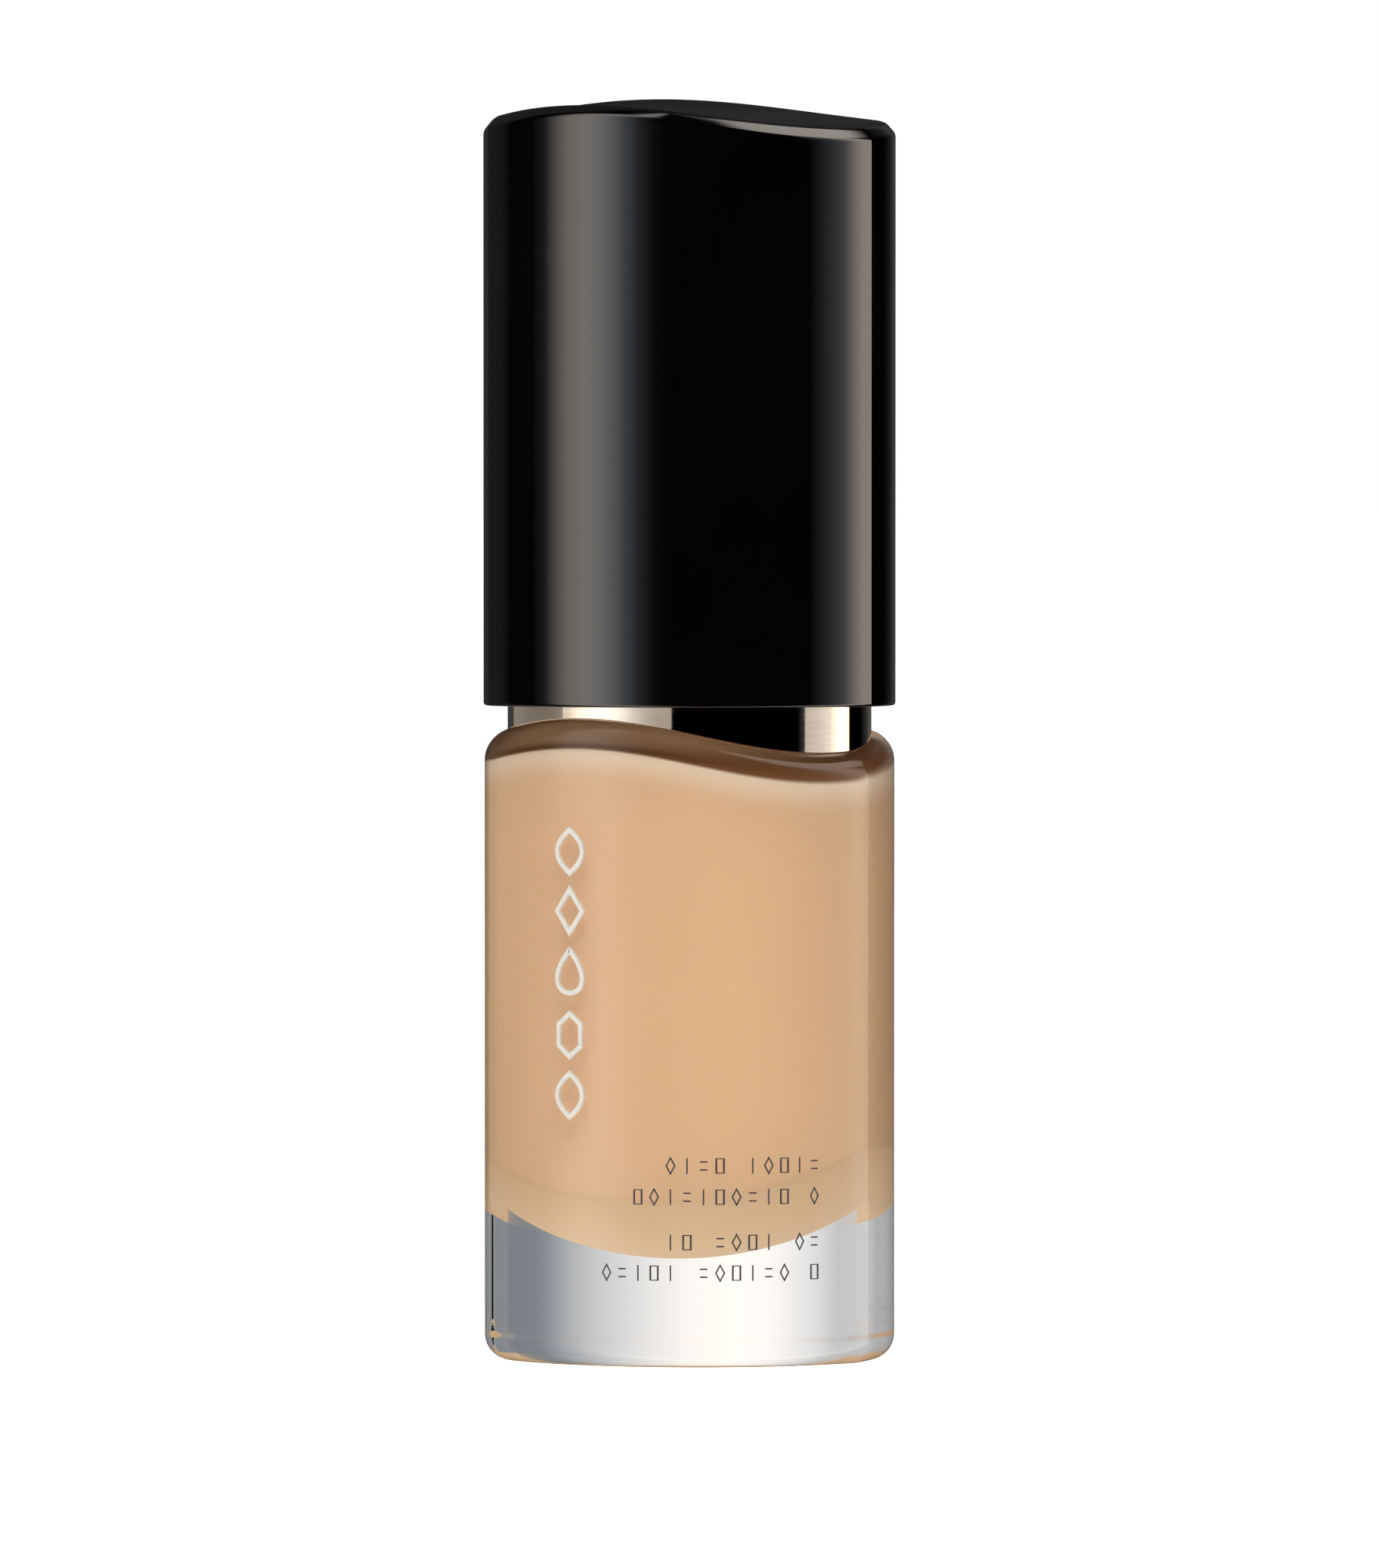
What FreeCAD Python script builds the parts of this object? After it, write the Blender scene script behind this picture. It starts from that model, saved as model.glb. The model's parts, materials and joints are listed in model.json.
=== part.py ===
import FreeCAD, Part
import Sketcher
import math
import os

# Liquid foundation bottle: a thick-based glass bottle, a metal collar over a snap-on pump
# and a tall pull-off cap. Millimetres, +Z up, origin in the middle of the flat base, and the
# front of the bottle faces -Y.

DIMENSIONS = {
    # Plan: two side arcs of one circle about the axis, and two wider arcs in front and behind
    "side_radius": 18.25,
    "front_radius": 21.06,
    "front_centre": 5.84,
    "crease_round": 3.0,
    # Glass bottle
    "glass_wall": 1.5,
    "heel_round": 2.2,
    "shoulder_round": 2.1,
    "shoulder_glass": 2.3,
    "floor_height": 9.2,
    "floor_dish": 20.0,
    "floor_shift": 0.6,
    "cavity_round": 1.5,
    "recess_radius": 12.0,
    "recess_depth": 0.6,
    "neck_radius": 7.9,
    "neck_bore": 5.2,
    "neck_top": 64.0,
    "neck_root": 50.0,
    "bead_radius": 8.5,
    "bead_low": 59.9,
    "bead_high": 61.6,
    "bead_under": 0.4,
    "bead_slope": 0.6,
    # Wave of the shoulder and of the cap's top, as harmonics round the axis
    "wave_radius": 17.0,
    "shoulder_mean": 56.25,
    "shoulder_cos_one": -0.91,
    "shoulder_sin_one": -0.93,
    "shoulder_cos_two": 0.91,
    "shoulder_sin_two": -0.79,
    "shoulder_cos_three": 0.16,
    "shoulder_sin_three": -0.67,
    "cap_mean": 110.0,
    "cap_cos_one": -1.0,
    "cap_sin_one": -0.68,
    "cap_cos_two": 0.83,
    "cap_sin_two": -0.24,
    "cap_cos_three": -0.05,
    "cap_sin_three": -0.45,
    # Metal collar and its carrier
    "collar_inset": 2.05,
    "collar_sheet": 0.4,
    "collar_top": 67.0,
    "collar_hole": 7.3,
    "collar_round": 0.25,
    "seat_gap": 0.05,
    "carrier_wall": 1.2,
    "carrier_low": 58.7,
    "carrier_web": 1.2,
    # Snap-on closure, gasket
    "closure_radius": 10.0,
    "closure_low": 58.2,
    "closure_deck": 65.5,
    "closure_top": 66.6,
    "snap_gap": 0.1,
    "chimney_radius": 5.5,
    "chimney_bore": 4.3,
    "chimney_top": 72.6,
    "gasket_thick": 0.5,
    # Pump
    "barrel_radius": 4.6,
    "barrel_bore": 3.8,
    "barrel_floor": 43.0,
    "barrel_low": 40.6,
    "nose_radius": 3.0,
    "nose_low": 35.0,
    "tube_radius": 1.9,
    "tube_bore": 1.3,
    "tube_low": 10.6,
    "ball_radius": 1.4,
    "seat_radius": 1.0,
    "seat_cone": 0.7,
    "cage_radius": 3.7,
    "cage_bore": 1.75,
    "cage_top": 45.9,
    "cage_hole": 1.1,
    "cage_roof": 0.8,
    "spigot_wall": 0.6,
    "spigot_height": 1.0,
    "spring_radius": 2.75,
    "spring_wire": 0.3,
    "spring_pitch": 1.6,
    "spring_low": 45.22,
    "piston_low": 56.4,
    "piston_top": 60.6,
    "piston_wall": 0.7,
    "piston_web": 0.9,
    "lip_depth": 0.6,
    "lip_taper": 0.8,
    "rod_radius": 1.25,
    "rod_flange": 1.65,
    "rod_foot": 0.2,
    "rod_step": 0.3,
    "rod_reach": 7.0,
    "rod_point": 0.5,
    "stem_radius": 2.2,
    "stem_bore": 1.35,
    "stem_low": 57.6,
    "stem_top": 80.0,
    "stem_lead": 0.4,
    "lid_low": 62.4,
    "run_gap": 0.05,
    "wiper_radius": 4.2,
    "wiper_thick": 0.8,
    # Pump head
    "head_low": 71.8,
    "head_top": 86.6,
    "head_radius": 6.9,
    "head_wall": 1.0,
    "head_roof": 1.5,
    "head_round": 0.9,
    "finger_radius": 3.0,
    "finger_edge_dip": 0.5,
    "finger_dip": 0.6,
    "core_radius": 3.6,
    "core_low": 73.6,
    "core_disc": 1.4,
    "outlet_height": 2.0,
    "outlet_step": 0.6,
    "channel_height": 81.3,
    "channel_radius": 0.8,
    "arm_radius": 1.9,
    "arm_reach": 6.6,
    "spout_radius": 2.6,
    "spout_reach": 10.9,
    "nozzle_reach": 11.5,
    # Cap
    "cap_proud": 0.1,
    "cap_low": 58.2,
    "cap_wall": 1.15,
    "cap_ceiling": 104.6,
    "cap_bevel_in": 0.85,
    "cap_bevel_down": 0.95,
    "liner_wall": 0.7,
    "liner_low": 59.0,
    "liner_roof": 0.9,
    # Shared: a light press fit, a small chamfer, how far a cut runs past, a height above everything
    "press_gap": 0.02,
    "small_chamfer": 0.3,
    "overrun": 1.0,
    "sky": 130.0,
}

REACH = 30.0  # half the width of the square from which each wavy surface is made
NEARLY = 1e-4  # how close two heights are taken as the same

# Sketcher's numbers for the points of a curve, the origin and the upright axis
START, END, CENTRE = 1, 2, 3
ORIGIN, UPRIGHT = -1, -2

doc = FreeCAD.newDocument("foundation_bottle")
sheet = doc.addObject("Spreadsheet::Sheet", "Dims")
for row, (alias, value) in enumerate(DIMENSIONS.items(), start=1):
    sheet.set(f"A{row}", alias)
    sheet.set(f"B{row}", str(value))
    sheet.setAlias(f"B{row}", alias)
working = doc.addObject("Spreadsheet::Sheet", "Working")
doc.recompute()


def dim(alias):
    """Value of one sheet cell."""
    return float(sheet.get(alias))


def cells(expression):
    """The same expression with every dimension's name pointing at the sheet."""
    words = expression.split()
    return " ".join(f"Dims.{word}" if word in DIMENSIONS else word for word in words)


# ---------------------------------------------------------------- shared builders


def origin_plane(body, role):
    """One of the body's own origin planes."""
    return next(feature for feature in body.Origin.OriginFeatures if feature.Role == role)


def new_sketch(body, role, lift=None):
    """An empty sketch on an origin plane, lifted along its normal by an expression."""
    sketch = body.newObject("Sketcher::SketchObject", body.Name + "_sketch")
    sketch.AttachmentSupport = [(origin_plane(body, role), "")]
    sketch.MapMode = "FlatFace"
    if lift:
        sketch.setExpression("AttachmentOffset.Base.z", cells(lift))
    return sketch


def worth(expression):
    """Value of an expression of dimensions, worked out in the working sheet."""
    working.set("A1", "=" + cells(expression))
    working.recompute()
    return float(working.get("A1"))


def add_bound(sketch, kind, places, expression):
    """A dimensional constraint whose value follows an expression."""
    index = sketch.addConstraint(Sketcher.Constraint(kind, *places, worth(expression)))
    sketch.setExpression(f"Constraints[{index}]", cells(expression))


def plan_body(name, inset, low, high, crease=None):
    """A prism of the four-arc plan, inset by an expression, with rounded creases if asked."""
    body = doc.addObject("PartDesign::Body", name)
    sketch = new_sketch(body, "XY_Plane", low)
    side = worth(f"side_radius - ( {inset} )")
    front = worth(f"front_radius - ( {inset} )")
    centre = dim("front_centre")
    corner_y = (front**2 - side**2 - centre**2) / (2 * centre)
    side_half = math.asin(corner_y / side)
    front_half = math.acos((corner_y + centre) / front)
    up = FreeCAD.Vector(0, 0, 1)
    arcs = (
        (0.0, side, 0.0, side_half),
        (-centre, front, math.pi / 2, front_half),
        (0.0, side, math.pi, side_half),
        (centre, front, 3 * math.pi / 2, front_half),
    )
    for centre_y, radius, heading, half in arcs:
        circle = Part.Circle(FreeCAD.Vector(0, centre_y, 0), up, radius)
        sketch.addGeometry(Part.ArcOfCircle(circle, heading - half, heading + half), False)
    for index in range(4):
        following = (index + 1) % 4
        sketch.addConstraint(Sketcher.Constraint("Coincident", index, END, following, START))
    for index in (0, 2):
        sketch.addConstraint(Sketcher.Constraint("Coincident", index, CENTRE, ORIGIN, START))
        add_bound(sketch, "Radius", (index,), f"side_radius - ( {inset} )")
    for index in (1, 3):
        sketch.addConstraint(Sketcher.Constraint("PointOnObject", index, CENTRE, UPRIGHT))
        add_bound(sketch, "Radius", (index,), f"front_radius - ( {inset} )")
    add_bound(sketch, "DistanceY", (1, CENTRE, ORIGIN, START), "front_centre")
    add_bound(sketch, "DistanceY", (ORIGIN, START, 3, CENTRE), "front_centre")
    pad = body.newObject("PartDesign::Pad", name + "_pad")
    pad.Profile = sketch
    pad.setExpression("Length", cells(f"{high} - ( {low} )"))
    if crease:
        doc.recompute()
        upright = [
            f"Edge{number}"
            for number, edge in enumerate(pad.Shape.Edges, start=1)
            if edge.Vertexes[0].Point.sub(edge.Vertexes[-1].Point).z
        ]
        rounding = body.newObject("PartDesign::Fillet", name + "_creases")
        rounding.Base = (pad, upright)
        rounding.setExpression("Radius", cells(crease))
        body.Tip = rounding
    return body


def turned_body(name, outline):
    """A solid of revolution about Z from an outline of (radius, height) expressions."""
    body = doc.addObject("PartDesign::Body", name)
    sketch = new_sketch(body, "XZ_Plane")
    count = len(outline)
    corners = [FreeCAD.Vector(worth(radius), worth(height), 0) for radius, height in outline]
    for index in range(count):
        line = Part.LineSegment(corners[index], corners[(index + 1) % count])
        sketch.addGeometry(line, False)
    for index, (radius, height) in enumerate(outline):
        before = (index - 1) % count
        sketch.addConstraint(Sketcher.Constraint("Coincident", before, END, index, START))
        if radius == "0":
            sketch.addConstraint(Sketcher.Constraint("PointOnObject", index, START, UPRIGHT))
        else:
            add_bound(sketch, "DistanceX", (ORIGIN, START, index, START), radius)
        add_bound(sketch, "DistanceY", (ORIGIN, START, index, START), height)
    turning = body.newObject("PartDesign::Revolution", name + "_turned")
    turning.Profile = sketch
    turning.ReferenceAxis = (sketch, ["V_Axis"])
    turning.Angle = 360
    return body


def bar_along_front(name, radius, start, reach, height):
    """A round bar along -Y at a height, from one distance in front of the axis to another."""
    bar = doc.addObject("Part::Cylinder", name)
    bar.setExpression("Radius", cells(radius))
    bar.setExpression("Height", cells(f"{reach} - ( {start} )"))
    bar.Placement.Rotation = FreeCAD.Rotation(FreeCAD.Vector(1, 0, 0), 90)
    bar.setExpression("Placement.Base.y", cells(f"0 - ( {start} )"))
    bar.setExpression("Placement.Base.z", cells(height))
    return bar


def cut(name, base, tool):
    """Base without tool."""
    result = doc.addObject("Part::Cut", name)
    result.Base = base
    result.Tool = tool
    return result


def common(name, base, tool):
    """What base and tool share."""
    result = doc.addObject("Part::Common", name)
    result.Base = base
    result.Tool = tool
    return result


def fuse(name, *pieces):
    """The pieces as one solid."""
    result = doc.addObject("Part::MultiFuse", name)
    result.Shapes = list(pieces)
    result.Refine = True
    return result


def rounded(name, base, radius, chosen):
    """Base with the chosen edges rounded."""
    doc.recompute()
    result = doc.addObject("Part::Fillet", name)
    result.Base = base
    edges = enumerate(base.Shape.Edges, start=1)
    result.Edges = [(number, radius, radius) for number, edge in edges if chosen(edge)]
    return result


def middle_reach(edge):
    """How far the middle of an edge is from the axis."""
    middle = edge.valueAt(0.5 * (edge.FirstParameter + edge.LastParameter))
    return math.hypot(middle.x, middle.y)


def flat_at(height, reach=0.0):
    """Test for an edge that lies at one height, beyond a distance from the axis."""

    def chosen(edge):
        box = edge.BoundBox
        level = abs(box.ZMin - height) < NEARLY and abs(box.ZMax - height) < NEARLY
        return level and middle_reach(edge) > reach

    return chosen


def rim_between(low, high):
    """Test for an edge of the outer rim between two heights."""

    def chosen(edge):
        box = edge.BoundBox
        return low < box.ZMin and box.ZMax < high and middle_reach(edge) > dim("recess_radius")

    return chosen


def wave_height(kind, lift, x, y):
    """Height of the shoulder's or the cap's wave at a place, moved up by lift."""
    ahead = -y / dim("wave_radius")
    aside = x / dim("wave_radius")
    turn = complex(ahead, aside)
    height = dim(f"{kind}_mean") + lift
    for order, word in enumerate(("one", "two", "three"), start=1):
        harmonic = turn**order
        height += dim(f"{kind}_cos_{word}") * harmonic.real
        height += dim(f"{kind}_sin_{word}") * harmonic.imag
    return height


def above_wave(name, kind, lift):
    """Solid of everything above a wavy surface. The wave is a cubic in x and y, so 4 x 4 points fix it."""
    steps = [REACH * (2 * index / 3 - 1) for index in range(4)]
    grid = [[FreeCAD.Vector(x, y, wave_height(kind, lift, x, y)) for y in steps] for x in steps]
    surface = Part.BSplineSurface()
    surface.interpolate(grid)
    solid = surface.toShape().extrude(FreeCAD.Vector(0, 0, dim("sky")))
    feature = doc.addObject("Part::Feature", name)
    feature.Shape = solid
    return feature


# ---------------------------------------------------------------- glass bottle and its filling


def build_glass():
    """Glass bottle with a dished thick base, a wavy rounded shoulder and a round neck."""
    blank = plan_body("glass_blank", "0", "0", "neck_top", "crease_round")
    over_shoulder = above_wave("over_shoulder", "shoulder", 0.0)
    trunk = cut("glass_trunk", blank, over_shoulder)
    heeled = rounded("glass_heeled", trunk, dim("heel_round"), flat_at(0.0))
    upper_rim = rim_between(dim("neck_root"), dim("neck_top"))
    shouldered = rounded("glass_shouldered", heeled, dim("shoulder_round"), upper_rim)
    neck = turned_body(
        "glass_neck",
        (
            ("0", "neck_root"),
            ("neck_radius", "neck_root"),
            ("neck_radius", "bead_low - bead_under"),
            ("bead_radius", "bead_low"),
            ("bead_radius", "bead_high - bead_slope"),
            ("neck_radius", "bead_high"),
            ("neck_radius", "neck_top - small_chamfer"),
            ("neck_radius - small_chamfer", "neck_top"),
            ("0", "neck_top"),
        ),
    )
    necked = fuse("glass_necked", shouldered, neck)
    cavity = build_cavity()
    hollowed = cut("glass_hollowed", necked, cavity)
    bore = turned_body(
        "glass_bore",
        (
            ("0", "neck_root"),
            ("neck_bore", "neck_root"),
            ("neck_bore", "neck_top + overrun"),
            ("0", "neck_top + overrun"),
        ),
    )
    bored = cut("glass_bored", hollowed, bore)
    dish = "( recess_radius * recess_radius / recess_depth + recess_depth ) / 2"
    recess = doc.addObject("Part::Sphere", "base_recess")
    recess.setExpression("Radius", cells(dish))
    recess.setExpression("Placement.Base.z", cells(f"recess_depth - {dish}"))
    glass = cut("glass_bottle", bored, recess)
    return glass, cavity


def build_cavity():
    """The space inside the glass: a dished floor and a ceiling that follows the shoulder."""
    prism = plan_body("cavity_prism", "glass_wall", "floor_height - overrun", "neck_top", "crease_round")
    bowl_ball = doc.addObject("Part::Sphere", "bowl_ball")
    bowl_ball.setExpression("Radius", cells("floor_dish"))
    bowl_ball.setExpression("Placement.Base.x", cells("0 - floor_shift"))
    bowl_ball.setExpression("Placement.Base.z", cells("floor_height + floor_dish"))
    bowl_wall = doc.addObject("Part::Cylinder", "bowl_wall")
    bowl_wall.setExpression("Radius", cells("floor_dish"))
    bowl_wall.setExpression("Height", cells("sky"))
    bowl_wall.setExpression("Placement.Base.x", cells("0 - floor_shift"))
    bowl_wall.setExpression("Placement.Base.z", cells("floor_height + floor_dish"))
    bowl = fuse("bowl", bowl_ball, bowl_wall)
    dished = common("cavity_dished", prism, bowl)
    over_ceiling = above_wave("over_ceiling", "shoulder", -dim("shoulder_glass"))
    roofed = cut("cavity_roofed", dished, over_ceiling)
    rims = rim_between(dim("floor_height"), dim("neck_top"))
    return rounded("cavity", roofed, dim("cavity_round"), rims)


def build_fill(cavity):
    """The liquid: all of the cavity but the room that the pump takes."""
    pump_room = turned_body(
        "pump_room",
        (
            ("0", "floor_height - overrun"),
            ("tube_radius + run_gap", "floor_height - overrun"),
            ("tube_radius + run_gap", "nose_low - run_gap"),
            ("nose_radius + run_gap", "nose_low - run_gap"),
            ("nose_radius + run_gap", "barrel_low - run_gap"),
            ("barrel_radius + run_gap", "barrel_low - run_gap"),
            ("barrel_radius + run_gap", "neck_top"),
            ("0", "neck_top"),
        ),
    )
    return cut("foundation_fill", cavity, pump_room)


# ---------------------------------------------------------------- collar and closure


def build_collar():
    """Sheet-metal collar: its lower edge follows the shoulder, its deck has a round hole."""
    outer = plan_body("collar_outer", "collar_inset", "neck_root", "collar_top")
    inner = plan_body(
        "collar_inner", "collar_inset + collar_sheet", "neck_root - overrun", "collar_top - collar_sheet"
    )
    under_edge = plan_body("collar_under", "0 - overrun", "0", "collar_top")
    over_seat = above_wave("over_seat", "shoulder", dim("seat_gap"))
    below_seat = cut("below_seat", under_edge, over_seat)
    tube = cut("collar_tube", outer, inner)
    hole = doc.addObject("Part::Cylinder", "collar_bore")
    hole.setExpression("Radius", cells("collar_hole"))
    hole.setExpression("Height", cells("sky"))
    open_tube = cut("collar_open", tube, hole)
    seated = cut("collar_seated", open_tube, below_seat)
    deck_rim = flat_at(dim("collar_top"), dim("recess_radius"))
    return rounded("outer_collar", seated, dim("collar_round"), deck_rim)


def build_carrier():
    """Plastic sleeve between the round closure and the four-cornered collar."""
    outer = plan_body("carrier_outer", "collar_inset + collar_sheet", "carrier_low", "closure_top")
    inner = plan_body(
        "carrier_inner",
        "collar_inset + collar_sheet + carrier_wall",
        "carrier_low - overrun",
        "closure_top - carrier_web",
    )
    sleeve = cut("carrier_sleeve", outer, inner)
    hole = doc.addObject("Part::Cylinder", "carrier_bore")
    hole.setExpression("Radius", cells("closure_radius + run_gap"))
    hole.setExpression("Height", cells("sky"))
    return cut("collar_carrier", sleeve, hole)


def build_closure():
    """Closure that snaps over the bead of the neck and guides the pump head on a chimney."""
    return turned_body(
        "snap_closure",
        (
            ("closure_radius", "closure_low"),
            ("closure_radius", "closure_top"),
            ("chimney_radius", "closure_top"),
            ("chimney_radius", "chimney_top"),
            ("chimney_bore", "chimney_top"),
            ("chimney_bore", "closure_deck"),
            ("neck_radius + snap_gap", "closure_deck"),
            ("neck_radius + snap_gap", "bead_high + snap_gap"),
            ("bead_radius + snap_gap", "bead_high - bead_slope + snap_gap"),
            ("bead_radius + snap_gap", "bead_low - snap_gap"),
            ("neck_radius + snap_gap", "bead_low - bead_under - snap_gap"),
            ("neck_radius + snap_gap + bead_under", "closure_low"),
        ),
    )


def build_gasket():
    """Soft ring on the rim of the neck."""
    return turned_body(
        "neck_gasket",
        (
            ("barrel_radius + snap_gap", "neck_top"),
            ("neck_radius - small_chamfer", "neck_top"),
            ("neck_radius - small_chamfer", "neck_top + gasket_thick"),
            ("barrel_radius + snap_gap", "neck_top + gasket_thick"),
        ),
    )


# ---------------------------------------------------------------- pump


def build_pump():
    """Every piece of the dispensing pump but its head."""
    flange_low = "neck_top + gasket_thick"
    housing = turned_body(
        "pump_housing",
        (
            ("tube_radius", "nose_low"),
            ("nose_radius", "nose_low"),
            ("nose_radius", "barrel_low"),
            ("barrel_radius", "barrel_low"),
            ("barrel_radius", flange_low),
            ("neck_radius", flange_low),
            ("neck_radius", "closure_deck"),
            ("barrel_bore", "closure_deck"),
            ("barrel_bore", "barrel_floor"),
            ("seat_radius + seat_cone", "barrel_floor"),
            ("seat_radius", "barrel_floor - seat_cone"),
            ("seat_radius", "barrel_low"),
            ("tube_radius", "barrel_low"),
        ),
    )
    lid = turned_body(
        "housing_lid",
        (
            ("stem_radius + run_gap", "lid_low"),
            ("barrel_bore", "lid_low"),
            ("barrel_bore", "closure_deck"),
            ("stem_radius + run_gap", "closure_deck"),
        ),
    )
    wiper = turned_body(
        "stem_seal",
        (
            ("stem_radius + run_gap", "closure_deck"),
            ("wiper_radius", "closure_deck"),
            ("wiper_radius - small_chamfer", "closure_deck + wiper_thick"),
            ("stem_radius + run_gap", "closure_deck + wiper_thick"),
        ),
    )
    tube = turned_body(
        "dip_tube",
        (
            ("tube_bore", "tube_low"),
            ("tube_radius", "tube_low"),
            ("tube_radius", "barrel_low"),
            ("tube_bore", "barrel_low"),
        ),
    )
    cage = turned_body(
        "ball_cage",
        (
            ("cage_bore", "barrel_floor"),
            ("cage_radius", "barrel_floor"),
            ("cage_radius", "cage_top - spigot_height"),
            ("cage_bore + spigot_wall", "cage_top - spigot_height"),
            ("cage_bore + spigot_wall", "cage_top"),
            ("cage_hole", "cage_top"),
            ("cage_hole", "cage_top - cage_roof"),
            ("cage_bore", "cage_top - cage_roof"),
        ),
    )
    ball = doc.addObject("Part::Sphere", "inlet_ball")
    ball.setExpression("Radius", cells("ball_radius"))
    # the ball rests a little above where it would touch the 45 degree cone of its seat
    rest = "barrel_floor - seat_cone + ball_radius * sqrt(2) - seat_radius + run_gap"
    ball.setExpression("Placement.Base.z", cells(rest))
    return [housing, lid, wiper, tube, cage, ball, *build_plunger(), build_spring()]


def build_plunger():
    """The sliding pieces in the barrel: lipped piston, rod and hollow stem."""
    piston = turned_body(
        "piston_seal",
        (
            ("barrel_bore - press_gap", "piston_low"),
            ("barrel_bore - press_gap", "piston_low + lip_depth"),
            ("barrel_bore - piston_wall", "piston_low + lip_depth + lip_taper"),
            ("barrel_bore - piston_wall", "piston_top - lip_depth - lip_taper"),
            ("barrel_bore - press_gap", "piston_top - lip_depth"),
            ("barrel_bore - press_gap", "piston_top"),
            ("stem_radius", "piston_top - lip_depth"),
            ("stem_radius", "stem_low"),
            ("rod_radius", "stem_low"),
            ("rod_radius", "piston_low + piston_web"),
            ("rod_radius + rod_flange", "piston_low + piston_web"),
        ),
    )
    rod = turned_body(
        "plunger_rod",
        (
            ("0", "piston_low - rod_foot"),
            ("rod_radius + rod_flange", "piston_low - rod_foot"),
            ("rod_radius + rod_flange", "piston_low + rod_step"),
            ("rod_radius", "piston_low + piston_web"),
            ("rod_radius", "stem_low + rod_reach - rod_point"),
            ("rod_radius - rod_point", "stem_low + rod_reach"),
            ("0", "stem_low + rod_reach"),
        ),
    )
    stem = turned_body(
        "pump_stem",
        (
            ("stem_bore", "stem_low"),
            ("stem_radius", "stem_low"),
            ("stem_radius", "stem_top - stem_lead"),
            ("stem_radius - stem_lead", "stem_top"),
            ("stem_bore", "stem_top"),
        ),
    )
    return [piston, rod, stem]


def build_spring():
    """Steel coil spring between the ball cage and the flange of the plunger rod."""
    coil = doc.addObject("Part::Helix", "spring_path")
    coil.setExpression("Radius", cells("spring_radius"))
    coil.setExpression("Pitch", cells("spring_pitch"))
    coil.setExpression("Height", cells("piston_low - spring_wire * 2 - spring_low"))
    coil.setExpression("Placement.Base.z", cells("spring_low"))
    wire = doc.addObject("Part::Circle", "spring_section")
    wire.setExpression("Radius", cells("spring_wire"))
    wire.Placement.Rotation = FreeCAD.Rotation(FreeCAD.Vector(1, 0, 0), 90)
    wire.setExpression("Placement.Base.x", cells("spring_radius"))
    wire.setExpression("Placement.Base.z", cells("spring_low"))
    doc.recompute()
    spring = doc.addObject("Part::Sweep", "return_spring")
    spring.Sections = [wire]
    spring.Spine = (coil, ["Edge1"])
    spring.Solid = True
    spring.Frenet = True
    return spring


# ---------------------------------------------------------------- pump head


def build_head():
    """Outer head with a spout, the inner socket that sits on the stem, and the spout's insert."""
    cup = turned_body(
        "head_cup",
        (
            ("head_radius - head_wall", "head_low"),
            ("head_radius", "head_low"),
            ("head_radius", "head_top - head_round"),
            ("head_radius - head_round", "head_top"),
            ("finger_radius", "head_top - finger_edge_dip"),
            ("0", "head_top - finger_dip"),
            ("0", "head_top - head_roof"),
            ("head_radius - head_wall", "head_top - head_roof"),
        ),
    )
    height = "channel_height"
    inner_face = "head_radius - head_wall"
    spout = bar_along_front("spout_bar", "spout_radius", inner_face, "spout_reach", height)
    spout_hole = bar_along_front("spout_hole", "arm_radius + run_gap", "0", "spout_reach + overrun", height)
    shell = cut("actuator_shell", fuse("head_with_spout", cup, spout), spout_hole)

    socket = turned_body(
        "socket",
        (
            ("stem_radius + press_gap", "core_low"),
            ("core_radius", "core_low"),
            ("core_radius", "head_top - head_roof - core_disc"),
            ("head_radius - head_wall", "head_top - head_roof - core_disc"),
            ("head_radius - head_wall", "head_top - head_roof"),
            ("0", "head_top - head_roof"),
            ("0", "stem_top + outlet_height"),
            ("stem_radius - outlet_step", "stem_top + outlet_height"),
            ("stem_radius - outlet_step", "stem_top + snap_gap"),
            ("stem_radius + press_gap", "stem_top + snap_gap"),
        ),
    )
    arm = bar_along_front("arm_bar", "arm_radius", "stem_radius + snap_gap", "arm_reach", height)
    channel = bar_along_front("channel_bar", "channel_radius", "0", "arm_reach + overrun", height)
    core = cut("actuator_core", fuse("socket_with_arm", socket, arm), channel)

    tube = bar_along_front("nozzle_tube", "arm_radius", "arm_reach", "spout_reach", height)
    lip_radius = "spout_radius - small_chamfer"
    lip = bar_along_front("nozzle_lip", lip_radius, "spout_reach", "nozzle_reach", height)
    passage_end = "nozzle_reach + overrun"
    passage = bar_along_front("nozzle_passage", "channel_radius", "arm_reach - overrun", passage_end, height)
    nozzle = cut("nozzle_insert", fuse("nozzle_body", tube, lip), passage)
    return [shell, core, nozzle]


# ---------------------------------------------------------------- cap


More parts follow.
